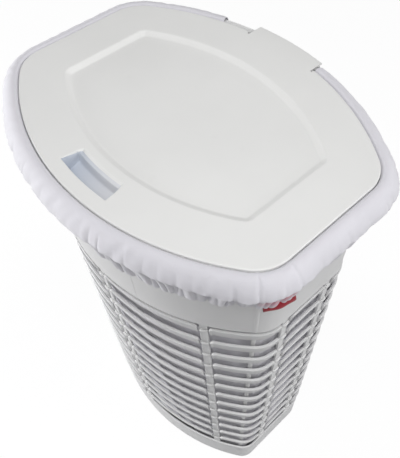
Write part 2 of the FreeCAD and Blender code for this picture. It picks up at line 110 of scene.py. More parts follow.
class HamperClothSettings(bpy.types.PropertyGroup):
    """Sizes of the cloth liner"""
    hem: FloatProperty(name="Hem height", description="Height of the cuff's gathered hem", default=0.558,
                       unit="LENGTH")
    thickness: FloatProperty(name="Thickness", description="Thickness of the cloth", default=0.0009,
                             unit="LENGTH")
    gather: FloatProperty(name="Gather", description="Depth of the gathered pleats", default=0.0048,
                          unit="LENGTH")
    colour: FloatVectorProperty(name="Colour", description="Colour of the cloth", subtype="COLOR", size=3,
                                default=(0.70, 0.69, 0.735))
    tag_colour: FloatVectorProperty(name="Tag colour", description="Colour of the label tag", subtype="COLOR",
                                    size=3, default=(0.30, 0.001, 0.012))


class HamperStageSettings(bpy.types.PropertyGroup):
    """Camera and light"""
    focal: FloatProperty(name="Focal length", description="Lens of the camera in millimetres", default=48.6)
    top_power: FloatProperty(name="Overhead panel", description="Power of the panel above the lid in watts",
                             default=19.0)
    left_power: FloatProperty(name="Left panel", description="Power of the panel at the left in watts",
                              default=40.0)
    right_power: FloatProperty(name="Right panel", description="Power of the panel at the right in watts",
                               default=20.0)
    fill: FloatProperty(name="Surround light", description="Strength of the even light from all sides",
                        default=0.23)


def settings():
    scene = bpy.context.scene
    return scene.hamper_basket, scene.hamper_lid, scene.hamper_cloth, scene.hamper_stage


# ------------------------------------------------------------------ outlines

class Outline:
    """One barrel outline: straight ends, bowed long sides and round corners. Sizes in millimetres."""

    def __init__(self, half, depth, end, corner, grow=0.0):
        bow = depth - end
        radius = (half * half + bow * bow) / (2 * bow)
        self.half = half + grow
        self.radius = radius + grow
        self.centre = depth - radius
        self.corner = max(corner + grow, 0.5)
        x = self.half - self.corner
        y = self.centre + math.sqrt((self.radius - self.corner) ** 2 - x * x)
        self.corner_x, self.corner_y = x, y
        self.turn = math.atan2(y - self.centre, x)
        self.lengths = (2 * y, self.corner * self.turn, self.radius * (math.pi - 2 * self.turn),
                        self.corner * self.turn)
        self.total = 2 * sum(self.lengths)

    def at(self, share):
        """Point and outward normal at a share of the way round, from the middle of the +X end to +Y."""
        share = share % 1.0
        half_turn = share >= 0.5
        walk = (share - 0.5 if half_turn else share) * self.total
        x, y, normal = self._half(walk)
        if half_turn:
            x, y, normal = -x, -y, normal + math.pi
        return x, y, math.cos(normal), math.sin(normal)

    def _half(self, walk):
        end, corner, side, _ = self.lengths
        if walk <= end / 2:
            return self.half, walk, 0.0
        walk -= end / 2
        if walk <= corner:
            angle = walk / self.corner
            return (self.corner_x + self.corner * math.cos(angle),
                    self.corner_y + self.corner * math.sin(angle), angle)
        walk -= corner
        if walk <= side:
            angle = self.turn + walk / self.radius
            return self.radius * math.cos(angle), self.centre + self.radius * math.sin(angle), angle
        walk -= side
        if walk <= corner:
            angle = math.pi - self.turn + walk / self.corner
            return (-self.corner_x + self.corner * math.cos(angle),
                    self.corner_y + self.corner * math.sin(angle), angle)
        walk -= corner
        return -self.half, self.corner_y - walk, math.pi

    def marks(self):
        """Shares at which the outline changes from end to corner to side."""
        end, corner, side, _ = self.lengths
        steps = [end / 2, corner, side, corner, end / 2]
        shares, walk = [0.0], 0.0
        for step in steps:
            walk += step
            shares.append(walk / self.total)
        return shares[:-1] + [0.5 + share for share in shares[:-1]] + [1.0]

    def share_of_side(self, x, front=True):
        """Share of the way round of the point of a long side that is x from the middle."""
        angle = math.acos(max(-1.0, min(1.0, x / self.radius)))
        end, corner, side, _ = self.lengths
        walk = end / 2 + corner + (angle - self.turn) * self.radius
        share = walk / self.total
        return 1.0 - share if front else share

    def share_of_end(self, y, right=True):
        share = y / self.total
        return share % 1.0 if right else (0.5 - share) % 1.0


def wall_outline(level, grow=0.0):
    return Outline(*(floor + gain * level for floor, gain in WALL_TAPER), grow)


def lid_outline(grow=0.0):
    return Outline(200.0, 153.5, 79.0, 45.0, grow)


def panel_outline(grow=0.0):
    return Outline(148.0, 103.0, 55.6, 12.0, grow)


def matched_shares(outline, per_part):
    """Shares that divide each part of an outline evenly, so that two outlines join point to point."""
    marks = outline.marks()
    shares = []
    for index in range(len(marks) - 1):
        parts = per_part[index % 5]
        for step in range(parts):
            shares.append(marks[index] + (marks[index + 1] - marks[index]) * step / parts)
    return shares


def matched_points(outline, per_part=(10, 10, 90, 10, 10)):
    return [outline.at(share) for share in matched_shares(outline, per_part)]


# ------------------------------------------------------------------ mesh helpers

def mesh_object(name, points, faces, material, body, smooth=True):
    mesh = bpy.data.meshes.new(name)
    mesh.from_pydata([tuple(point) for point in points], [], faces)
    mesh.validate()
    clean = bmesh.new()
    clean.from_mesh(mesh)
    bmesh.ops.remove_doubles(clean, verts=clean.verts, dist=0.00001)
    bmesh.ops.recalc_face_normals(clean, faces=clean.faces)
    clean.to_mesh(mesh)
    clean.free()
    thing = bpy.data.objects.new(name, mesh)
    bpy.context.scene.collection.objects.link(thing)
    mesh.materials.append(material)
    for polygon in mesh.polygons:
        polygon.use_smooth = smooth
    if smooth:
        mesh.set_sharp_from_angle(angle=math.radians(38))
    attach(thing, body)
    return thing


def grid_faces(rows, columns, closed_rows=False, closed_columns=False, start=0):
    faces = []
    for i in range(rows if closed_rows else rows - 1):
        for j in range(columns if closed_columns else columns - 1):
            a = start + i * columns + j
            b = start + i * columns + (j + 1) % columns
            c = start + ((i + 1) % rows) * columns + (j + 1) % columns
            d = start + ((i + 1) % rows) * columns + j
            faces.append((a, b, c, d))
    return faces


def tube_faces(rows, columns):
    """Faces of a tube of closed rings with a face over each end."""
    faces = grid_faces(rows, columns, False, True)
    faces.append(tuple(range(columns)))
    faces.append(tuple(range((rows - 1) * columns, rows * columns)))
    return faces


def off_outline(place, out, across, level):
    """Point in metres beside a place of an outline: out along its normal, across along the outline."""
    x, y, nx, ny = place
    return (x + nx * out - ny * across) * MM, (y + ny * out + nx * across) * MM, level * MM


def ring_solid(stations):
    """Points and faces of a closed ring: stations are (outline, height in mm) round its cross-section."""
    points, count = [], 0
    for outline, level in stations:
        places = matched_points(outline)
        count = len(places)
        points += [(x * MM, y * MM, level * MM) for x, y, _, _ in places]
    return points, grid_faces(len(stations), count, True, True)


def merge(parts):
    points, faces = [], []
    for some_points, some_faces in parts:
        shift = len(points)
        points += some_points
        faces += [tuple(index + shift for index in face) for face in some_faces]
    return points, faces


def smoothstep(low, high, value):
    t = max(0.0, min(1.0, (value - low) / (high - low)))
    return t * t * (3 - 2 * t)


# ------------------------------------------------------------------ materials

def node_group(name, outputs, build):
    """A shader group that gives only varying colours, values and normals."""
    if name in bpy.data.node_groups:
        return bpy.data.node_groups[name]
    group = bpy.data.node_groups.new(name, "ShaderNodeTree")
    for label, kind in outputs:
        group.interface.new_socket(name=label, in_out="OUTPUT", socket_type=kind)
    end = group.nodes.new("NodeGroupOutput")
    build(group, end)
    return group


def add(tree, kind, **values):
    """Add a node, set its properties and the defaults of its inputs."""
    node = tree.nodes.new(kind)
    for name, value in values.items():
        if hasattr(node, name):
            setattr(node, name, value)
        else:
            node.inputs[name.replace("_", " ")].default_value = value
    return node


def noise(tree, scale, detail=3.0, stretch=(1, 1, 1), rough=0.5):
    place = add(tree, "ShaderNodeTexCoord")
    shape = tree.nodes.new("ShaderNodeMapping")
    shape.inputs["Scale"].default_value = stretch
    tree.links.new(place.outputs["Object"], shape.inputs["Vector"])
    texture = tree.nodes.new("ShaderNodeTexNoise")
    texture.inputs["Scale"].default_value = scale
    texture.inputs["Detail"].default_value = detail
    texture.inputs["Roughness"].default_value = rough
    tree.links.new(shape.outputs["Vector"], texture.inputs["Vector"])
    return texture.outputs["Fac"]


def remap(tree, value, low, high, to_low, to_high):
    node = tree.nodes.new("ShaderNodeMapRange")
    for label, number in (("From Min", low), ("From Max", high), ("To Min", to_low), ("To Max", to_high)):
        node.inputs[label].default_value = number
    tree.links.new(value, node.inputs["Value"])
    return node.outputs["Result"]


def maths(tree, operation, first, second=None, third=None):
    node = tree.nodes.new("ShaderNodeMath")
    node.operation = operation
    for index, value in enumerate((first, second, third)):
        if value is None:
            continue
        if hasattr(value, "links"):
            tree.links.new(value, node.inputs[index])
        else:
            node.inputs[index].default_value = value
    return node.outputs["Value"]


def moulded_grain(group, end):
    """Fine spark-eroded grain, flow clouding and light handling marks of moulded plastic."""
    grain = noise(group, 2600.0, 2.0)
    cloud = noise(group, 9.0, 4.0)
    scuff = noise(group, 60.0, 6.0, (1.0, 1.0, 4.0), 0.65)
    fine = remap(group, scuff, 0.62, 0.78, 0.0, 1.0)
    shade = maths(group, "MULTIPLY_ADD", cloud, 0.10, 0.95)
    shade = maths(group, "MULTIPLY_ADD", fine, -0.025, shade)
    group.links.new(shade, end.inputs["Shade"])
    rough = maths(group, "MULTIPLY_ADD", grain, 0.10, 0.36)
    rough = maths(group, "MULTIPLY_ADD", cloud, 0.08, rough)
    rough = maths(group, "MULTIPLY_ADD", fine, 0.10, rough)
    group.links.new(rough, end.inputs["Roughness"])
    height = maths(group, "MULTIPLY_ADD", scuff, 0.35, grain)
    group.links.new(height, end.inputs["Height"])


def woven_cloth(group, end):
    """Plain weave: two crossed sets of threads, slubs and a soft variation of tone."""
    place = add(group, "ShaderNodeTexCoord")
    split = group.nodes.new("ShaderNodeSeparateXYZ")
    group.links.new(place.outputs["Object"], split.inputs["Vector"])
    around = maths(group, "ADD", split.outputs["X"], split.outputs["Y"])
    across = maths(group, "SUBTRACT", split.outputs["X"], split.outputs["Y"])
    warp = maths(group, "SINE", maths(group, "MULTIPLY", around, 5200.0))
    fill = maths(group, "SINE", maths(group, "MULTIPLY", split.outputs["Z"], 6400.0))
    other = maths(group, "SINE", maths(group, "MULTIPLY", across, 5200.0))
    weave = maths(group, "MULTIPLY", warp, fill)
    weave = maths(group, "MULTIPLY_ADD", maths(group, "MULTIPLY", other, fill), 0.6, weave)
    slub = noise(group, 700.0, 3.0, (0.15, 0.15, 1.0))
    tone = noise(group, 22.0, 3.0)
    height = maths(group, "MULTIPLY_ADD", slub, 1.5, weave)
    group.links.new(height, end.inputs["Height"])
    shade = maths(group, "MULTIPLY_ADD", weave, 0.012, 0.955)
    shade = maths(group, "MULTIPLY_ADD", tone, 0.07, shade)
    group.links.new(shade, end.inputs["Shade"])
    rough = maths(group, "MULTIPLY_ADD", slub, 0.12, 0.78)
    group.links.new(rough, end.inputs["Roughness"])


def mixed(tree, share, first, second, blend="MIX"):
    """Two colours mixed by a share. Each value is a socket, or a number or colour."""
    node = tree.nodes.new("ShaderNodeMix")
    node.data_type = "RGBA"
    node.blend_type = blend
    sockets = [socket for socket in node.inputs if socket.enabled]
    for socket, value in zip(sockets, (share, first, second)):
        if hasattr(value, "links"):
            tree.links.new(value, socket)
        else:
            socket.default_value = value if isinstance(value, float) else (*value, 1.0)
    return [socket for socket in node.outputs if socket.enabled][0]


def shaded(tree, colour, shade):
    """The base colour multiplied by a varying shade."""
    grey = tree.nodes.new("ShaderNodeCombineColor")
    for channel in ("Red", "Green", "Blue"):
        tree.links.new(shade, grey.inputs[channel])
    return mixed(tree, 1.0, colour, grey.outputs["Color"], "MULTIPLY")


def new_material(name, group, bump, distance=0.0001):
    """A material whose group drives colour, roughness and bump of one Principled shader."""
    material = bpy.data.materials.new(name)
    material.use_nodes = True
    tree = material.node_tree
    shader = tree.nodes["Principled BSDF"]
    effect = tree.nodes.new("ShaderNodeGroup")
    effect.node_tree = group
    relief = tree.nodes.new("ShaderNodeBump")
    relief.inputs["Strength"].default_value = bump
    relief.inputs["Distance"].default_value = distance
    tree.links.new(effect.outputs["Height"], relief.inputs["Height"])
    tree.links.new(relief.outputs["Normal"], shader.inputs["Normal"])
    tree.links.new(effect.outputs["Roughness"], shader.inputs["Roughness"])
    return material, tree, shader, effect


GROUP_SOCKETS = [(label, "NodeSocketFloat") for label in ("Shade", "Roughness", "Height")]


def finished(name, colour, effect_name, build, bump, values):
    """A material of one colour whose shade, roughness and relief come from a shared effect."""
    if name in bpy.data.materials:
        return bpy.data.materials[name]
    group = node_group(effect_name, GROUP_SOCKETS, build)
    material, tree, shader, effect = new_material(name, group, bump)
    tree.links.new(shaded(tree, colour, effect.outputs["Shade"]), shader.inputs["Base Color"])
    for label, value in values.items():
        shader.inputs[label].default_value = value
    return material


def plastic(name, colour):
    return finished(name, colour, "Moulded grain", moulded_grain, 0.12, {"Specular IOR Level": 0.42})


def cloth(name, colour, tint=None):
    """Thin woven cloth; tint is (centre, radius, colour) of a zone where something shows through."""
    if name in bpy.data.materials:
        return bpy.data.materials[name]
    group = node_group("Plain weave", GROUP_SOCKETS, woven_cloth)
    material, tree, shader, effect = new_material(name, group, 0.35, 0.00012)
    result = shaded(tree, colour, effect.outputs["Shade"])
    if tint:
        centre, radius, tint_colour = tint
        place = tree.nodes.new("ShaderNodeTexCoord")
        offset = tree.nodes.new("ShaderNodeVectorMath")
        offset.operation = "SUBTRACT"
        offset.inputs[1].default_value = centre
        tree.links.new(place.outputs["Object"], offset.inputs[0])
        squeeze = tree.nodes.new("ShaderNodeVectorMath")
        squeeze.operation = "MULTIPLY"
        squeeze.inputs[1].default_value = (1.0, 1.0, 1.7)
        tree.links.new(offset.outputs["Vector"], squeeze.inputs[0])
        away = tree.nodes.new("ShaderNodeVectorMath")
        away.operation = "LENGTH"
        tree.links.new(squeeze.outputs["Vector"], away.inputs[0])
        share = remap(tree, away.outputs["Value"], radius * 0.35, radius, 0.62, 0.0)
        result = mixed(tree, share, result, tint_colour)
    tree.links.new(result, shader.inputs["Base Color"])
    shader.inputs["Specular IOR Level"].default_value = 0.2
    shader.inputs["Sheen Weight"].default_value = 0.35
    shader.inputs["Sheen Roughness"].default_value = 0.5
    return material


def ribbon_ribs(group, end):
    """Close ribs with a soft shine."""
    place = add(group, "ShaderNodeTexCoord")
    split = group.nodes.new("ShaderNodeSeparateXYZ")
    group.links.new(place.outputs["Object"], split.inputs["Vector"])
    ribs = maths(group, "SINE", maths(group, "MULTIPLY", split.outputs["Z"], 9000.0))
    tone = noise(group, 160.0, 3.0)
    group.links.new(maths(group, "MULTIPLY_ADD", tone, 0.7, 0.65), end.inputs["Shade"])
    group.links.new(maths(group, "MULTIPLY_ADD", tone, 0.25, 0.25), end.inputs["Roughness"])
    group.links.new(ribs, end.inputs["Height"])


def satin(name, colour):
    return finished(name, colour, "Satin ribs", ribbon_ribs, 0.25, {"Sheen Weight": 0.1})


def drawn_lines(group, end):
    """Fine lines that a drawing die leaves along a wire."""
    lines = noise(group, 900.0, 4.0, (0.05, 1.0, 1.0))
    group.links.new(maths(group, "MULTIPLY_ADD", lines, 0.2, 0.85), end.inputs["Shade"])
    group.links.new(maths(group, "MULTIPLY_ADD", lines, 0.25, 0.25), end.inputs["Roughness"])
    group.links.new(lines, end.inputs["Height"])


def drawn_metal(name, colour):
    return finished(name, colour, "Drawn lines", drawn_lines, 0.2, {"Metallic": 1.0})


# its colour, below the lid's, holds some painted shade on the walls
def basket_plastic():
    return plastic("Basket polypropylene", tuple(settings()[0].colour))


def lid_plastic():
    return plastic("Lid polypropylene", tuple(settings()[1].colour))


def liner_cloth():
    return cloth("Liner cloth", tuple(settings()[2].colour))


# ------------------------------------------------------------------ basket pieces

def rib_shares(level):
    """The wall's outline at one height in millimetres, and the shares at which the ribs stand, in order."""
    outline = wall_outline(level)
    climb = (level - TRAY_TOP) / (BAND_FOOT - TRAY_TOP)
    side = 129.0 + 5.0 * climb
    end = 30.0 + 5.0 * climb
    shares = [outline.share_of_end(end)]
    shares += [outline.share_of_side(x, False) for x in (side, 0.0, -side)]
    shares += [outline.share_of_end(y, False) for y in (end, -end)]
    shares += [outline.share_of_side(x) for x in (-side, 0.0, side)]
    shares.append(outline.share_of_end(-end))
    return outline, shares


def slat_section(height, lean, wall, top_cut, slim, end_bead):
    """Closed cross-section of a slat as (out, down) pairs in mm: a proud top edge over a leaning face."""
    half = wall * 0.5 * slim
    bead = 1.5 * slim
    raised = 1.1 * end_bead
    top = top_cut
    upper = top + 4.6
    middle = height * 0.62 + top * 0.38
    return [(-half, top + 1.5), (-half + 0.5, top + 0.45), (0.1, top), (half + bead * 0.55, top + 0.25),
            (half + bead, top + 1.1), (half + bead, top + 2.0), (half + bead * 0.55, top + 2.9),
            (half + raised + 0.05, upper), (half - lean * 0.5 + raised, middle),
            (half - lean + raised, height - 0.7), (half * 0.4 - lean, height),
            (-half * 0.6 - lean, height - 0.2), (-half - lean, height - 1.0),
            (-half - lean * 0.5, middle), (-half - 0.1, upper)]


def slat_span(level, outline, first, last, sizes):
    """One slat between two ribs, with its top edge turned down round a corner at each end."""
    height, lean, wall = sizes
    if last < first:
        last += 1.0
    length = (last - first) * outline.total
    steps = [0.0, 0.2, 0.6, 1.1, 1.7, 2.4, 3.2, 4.2, 5.4, 7.0, 9.0]
    middle = max(6, int((length - 2 * steps[-1]) / 4.5))
    walk = steps + [steps[-1] + (length - 2 * steps[-1]) * (i + 1) / middle for i in range(middle)]
    walk += [length - step for step in reversed(steps[:-1])]
    radius = 5.2
    points = []
    for distance in walk:
        near = min(distance, length - distance)
        cut = 0.0
        if near < radius:
            cut = radius * (1 - math.sqrt(max(0.0, 1 - (1 - near / radius) ** 2)))
        slim = 0.45 + 0.55 * smoothstep(0.0, 1.2, near)
        end_bead = smoothstep(0.0, 0.7, near) * (1 - smoothstep(1.6, 3.0, near))
        place = outline.at(first + distance / outline.total)
        for out, down in slat_section(height, lean, wall, min(cut, height * 0.4), slim, end_bead):
            points.append(off_outline(place, out - wall * 0.5, 0.0, level - down))
    return points, tube_faces(len(walk), len(points) // len(walk))


def build_slats():
    basket = settings()[0]
    sizes = (basket.slat_height / MM, basket.slat_lean / MM, basket.wall / MM)
    slot = basket.rib_slot / MM
    material = basket_plastic()
    for row in range(ROWS):
        level = (basket.slat_top - basket.slat_pitch * row) / MM
        outline, shares = rib_shares(level)
        parts = []
        gap = slot / 2 / outline.total
        for first, last in zip(shares, shares[1:] + shares[:1]):
            parts.append(slat_span(level, outline, first + gap, last - gap, sizes))
        points, faces = merge(parts)
        piece = mesh_object("slats_%02d" % (row + 1), points, faces, material, BASKET)
        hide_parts("slat_row_%02d" % (row + 1))


def rib_point(which, level, out, across):
    outline, shares = rib_shares(level)
    return off_outline(outline.at(shares[which]), out, across, level)


SIDES = {"right": (0, 9), "back": (1, 2, 3), "left": (4, 5), "front": (6, 7, 8)}


def build_ribs():
    """Upright strips: a shallow channel with raised edges, from the base tray to the top band."""
    half = settings()[0].rib_width / MM / 2
    levels = [50.0 + (492.0 - 50.0) * step / 26 for step in range(27)]
    section = [(-half, -3.6), (-half, -1.5), (-half + 0.35, -0.95), (-half + 1.0, -0.8),
               (-half + 1.5, -1.25), (0, -1.35), (half - 1.5, -1.25), (half - 1.0, -0.8),
               (half - 0.35, -0.95), (half, -1.5), (half, -3.6)]
    for side, which_ribs in SIDES.items():
        parts = []
        for which in which_ribs:
            points = [rib_point(which, level, out, across) for level in levels for across, out in section]
            parts.append((points, tube_faces(len(levels), len(section))))
        points, faces = merge(parts)
        piece = mesh_object(side + "_strips", points, faces, basket_plastic(), BASKET)
        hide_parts(side + "_ribs")


def tie_solid(which, level):
    """A short staple-like bar over a rib: its back bows out and its ends turn in beside the rib."""
    around, along = 12, 17
    points = []
    for step in range(along):
        t = -1 + 2 * step / (along - 1)
        across = 5.9 * t
        bow = 2.5 * (1 - abs(t) ** 3.2)
        drop = 1.6 * abs(t) ** 3
        radius = 1.65 * (1 - 0.3 * abs(t) ** 4)
        for turn in range(around):
            angle = 2 * math.pi * turn / around
            out = -2.3 + bow + radius * math.cos(angle)
            rise = radius * 0.95 * math.sin(angle) - drop
            points.append(rib_point(which, level, out, across)[:2] + ((level + rise) * MM,))
    return points, tube_faces(along, around)


def build_ties():
    basket = settings()[0]
    for side, which_ribs in SIDES.items():
        parts = []
        for which in which_ribs:
            for row in range(ROWS):
                level = (basket.slat_top - basket.slat_pitch * row) / MM - 9.0
                parts.append(tie_solid(which, level))
        points, faces = merge(parts)
        piece = mesh_object(side + "_tie_bars", points, faces, basket_plastic(), BASKET)
        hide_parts(side + "_weave_ties")


def build_posts():
    """The upright bead where each long side meets its corner: behind the slats, then raised on the band."""
    around = 12
    levels = [50.0 + (484.0 - 50.0) * step / 30 for step in range(31)]
    levels += [486.0, 488.0, 490.0, 500.0, 520.0, 545.0, 560.0]
    parts = []
    for mark in (2, 3, 7, 8):
        points = []
        for level in levels:
            outline = wall_outline(level)
            place = outline.at(outline.marks()[mark])
            climb = smoothstep(484.0, 489.0, level)
            inset = -5.6 + 5.3 * climb
            wide, deep = 2.7, 1.5 - 0.5 * climb
            for turn in range(around):
                angle = 2 * math.pi * turn / around
                out, across = inset + deep * math.cos(angle), wide * math.sin(angle)
                points.append(off_outline(place, out, across, level))
        parts.append((points, tube_faces(len(levels), around)))
    points, faces = merge(parts)
    piece = mesh_object("corner_beads", points, faces, basket_plastic(), BASKET)
    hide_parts("corner_posts")


def build_band():
    """Smooth band under the rim, with a rolled lower edge and a raised mould line on each long side."""
    stations = [(-2.5, BAND_TOP), (-2.5, 560.0), (-2.5, 490.0), (-2.3, 487.2), (-1.4, 486.2), (-0.2, 486.4),
                (0.5, 487.4), (0.55, 488.6), (0.1, 490.2), (0.0, 493.0), (0.0, 540.0), (0.0, BAND_TOP)]
    parts = [ring_solid([(wall_outline(level, grow), level) for grow, level in stations])]
    steps, from_middle = 12, 60.0
    section = ((-0.3, -0.45), (0.16, -0.15), (0.16, 0.15), (-0.3, 0.45))
    for front in (True, False):
        line = []
        for step in range(steps):
            level = 488.0 + (600.0 - 488.0) * step / (steps - 1)
            outline = wall_outline(level)
            place = outline.at(outline.share_of_side(from_middle, front))
            line += [off_outline(place, out, across, level) for out, across in section]
        parts.append((line, grid_faces(steps, len(section), False, True)))
    points, faces = merge(parts)
    piece = mesh_object("smooth_band", points, faces, basket_plastic(), BASKET)
    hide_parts("top_band")


def build_base():
    """Base tray: a closed floor, rounded foot and a rolled upper edge."""
    outer = [(0.0, 50.0), (0.5, 52.2), (0.6, 53.4), (0.1, 54.3), (-1.2, 54.6), (-2.4, 54.0), (-2.5, 51.0),
             (-2.5, 12.0), (-3.4, 9.0), (-6.0, 8.0)]
    under = [(0.0, 50.0), (0.0, 30.0), (0.0, 9.0), (-0.5, 4.0), (-1.3, 1.2), (-2.4, 0.1), (-3.4, 0.4),
             (-3.8, 1.6), (-4.4, 4.2), (-6.0, 5.0)]
    stations = list(reversed(outer)) + under[1:]
    points = []
    for grow, level in stations:
        points += [(x * MM, y * MM, level * MM) for x, y, _, _ in matched_points(wall_outline(level, grow))]
    faces = tube_faces(len(stations), len(points) // len(stations))
    piece = mesh_object("base_moulding", points, faces, basket_plastic(), BASKET)
    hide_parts("base_tray")


def build_rim():
    """Turned-over rim with fine cross ribs on its top, where the liner leaves it bare."""
    wall_foot = -2.0   # stations with this reach lie on the wall instead of on the lid's outline
    section = [(wall_foot, BAND_TOP), (5.0, 617.0), (5.0, 625.6), (6.0, 627.3), (12.4, 627.4), (13.4, 626.2),
               (10.0, 608.6), (10.6, 608.0), (11.8, 608.0), (12.4, 608.6), (15.6, 624.0), (15.0, 628.4),
               (13.2, 630.0), (4.4, 630.0), (3.0, 629.4), (2.5, 628.2), (2.5, 619.6), (wall_foot, 619.5)]
    inner_places = matched_points(wall_outline(BAND_TOP, -2.5))
    notched = lid_outline(5.4)
    points = []
    for grow, level in section:
        places = inner_places if grow == wall_foot else matched_points(lid_outline(grow))
        for x, y, _, _ in places:
            high = level
            if y > 0 and abs(x - HINGE_SIDE) < RIM_NOTCH and grow > 5.0:
                x, y, _, _ = notched.at(notched.share_of_side(x, False))
                high = min(level, 626.0)
            points.append((x * MM, y * MM, high * MM))
    parts = [(points, grid_faces(len(section), len(inner_places), True, True))]
    outline = lid_outline(10.5)
    ribs, rib_start = 420, -112
    bar_faces = [(0, 1, 5, 4), (1, 2, 6, 5), (2, 3, 7, 6), (3, 0, 4, 7), (0, 3, 2, 1), (4, 5, 6, 7)]
    for index in range(ribs):
        place = outline.at(index / ribs)
        if not (place[1] > 0 and rib_start < place[0] < HINGE_SIDE - RIM_NOTCH - 0.5):
            continue
        bar = []
        for out in (-1.5, 3.2):
            for across, rise in ((-0.8, 629.9), (-0.4, 630.6), (0.4, 630.6), (0.8, 629.9)):
                bar.append(off_outline(place, out, across, rise))
        parts.append((bar, bar_faces))
    points, faces = merge(parts)
    piece = mesh_object("rolled_rim", points, faces, basket_plastic(), BASKET)
    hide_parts("rim")


# ------------------------------------------------------------------ lid

def lid_edge_points(shares, sink):
    """Outer edge of the lid, drawn out into the hinge tab at the back."""
    notch = 2.6   # width and depth of the nick beside the tab
    places = []
    outline = lid_outline(-sink)
    tab = lid_outline(TAB_REACH - sink)
    for share in shares:
        x, y, nx, ny = outline.at(share)
        inside = TAB_HALF - abs(x - HINGE_SIDE)
        if y > 0 and inside > 0:
            tx, ty, _, _ = tab.at(tab.share_of_side(x, False))
            x, y = tx, ty
        elif y > 0 and inside > -notch:
            x, y = x - nx * notch, y - ny * notch
        places.append((x, y))
    return places


def lid_shares(outline):
    """Shares with extra points beside the finger recess and the tab's edges."""
    shares = set(matched_shares(outline, (10, 14, 44, 14, 10)))
    for x in np.concatenate([np.arange(-44, 44.1, 1.1), np.arange(33, 39.1, 0.4), -np.arange(33, 39.1, 0.4)]):
        shares.add(outline.share_of_side(float(x)))
    for x in (TAB_HALF, TAB_HALF + 2.6):
        for step in (-0.9, -0.35, -0.05, 0.05, 0.35, 0.9):
            for sign in (-1, 1):
                shares.add(outline.share_of_side(HINGE_SIDE + sign * (x + step), False))
    result = []
    for share in sorted(shares):
        if not result or share - result[-1] > 0.00002:
            result.append(share)
    return result


def recess_depth(x, inset, half_width):
    """Depth of the finger recess and how far its front wall runs back under the strip, in mm."""
    side = half_width - abs(x)
    front = inset - RECESS_FRONT
    back = RECESS_BACK - inset
    edge = min(side, front, back)
    if edge < -1.4:
        return 0.0, 0.0
    wall = smoothstep(-1.4, 0.9, edge)
    floor = 7.5 + 13.5 * (1 - max(0.0, min(1.0, front / RECESS_RUN)))
    lip = smoothstep(-1.4, 5.5, back)
    shelf = smoothstep(5.5, 9.0, back)
    depth = floor * wall
    depth = min(depth, 2.6 * wall * lip + (floor + 1.0) * shelf * wall + 0.4 * wall)
    under = 4.5 * smoothstep(2.5, 6.0, depth) * (1 - smoothstep(0.6, 3.0, front))
    return depth, under


def recess_shade_plastic():
    """Plastic of the finger cup with painted shade for the recess: a blue-grey darker than the plate, darkest
    at its left end.
    """
    group = node_group("Moulded grain", GROUP_SOCKETS, moulded_grain)
    material, tree, shader, _ = new_material("Finger cup plastic", group, 0.1, 0.00003)
    place = tree.nodes.new("ShaderNodeTexCoord")
    split = tree.nodes.new("ShaderNodeSeparateXYZ")
    tree.links.new(place.outputs["Object"], split.inputs["Vector"])
    across = remap(tree, split.outputs["X"], -0.034, 0.020, 0.0, 1.0)
    # painted shade of the recess: blue-grey, darkest at its left end and lighter towards its right
    colour = mixed(tree, across, (0.56, 0.60, 0.67), (0.70, 0.71, 0.74))
    tree.links.new(colour, shader.inputs["Base Color"])
    shader.inputs["Specular IOR Level"].default_value = 0.4
    return material


def matching_share(share, marks_from, marks_to):
    """Share of a second outline whose part and place in it are those of a share of the first."""
    for index in range(len(marks_from) - 1):
        low, high = marks_from[index], marks_from[index + 1]
        if low <= share <= high:
            t = (share - low) / (high - low)
            return marks_to[index] + (marks_to[index + 1] - marks_to[index]) * t
    return share


def lid_border_insets():
    """Distances in from the lid's edge at which the border has a ring, close together at the recess."""
    insets = [3.0, 5.5, 8.0, 11.0, 14.0, 46.0, 48.5]
    for first, stop, step in ((15.4, 21.0, 0.45), (21.4, 40.0, 1.2), (38.6, 44.0, 0.45)):
        insets += list(np.arange(first, stop, step))
    return sorted(set(round(float(value), 2) for value in insets))


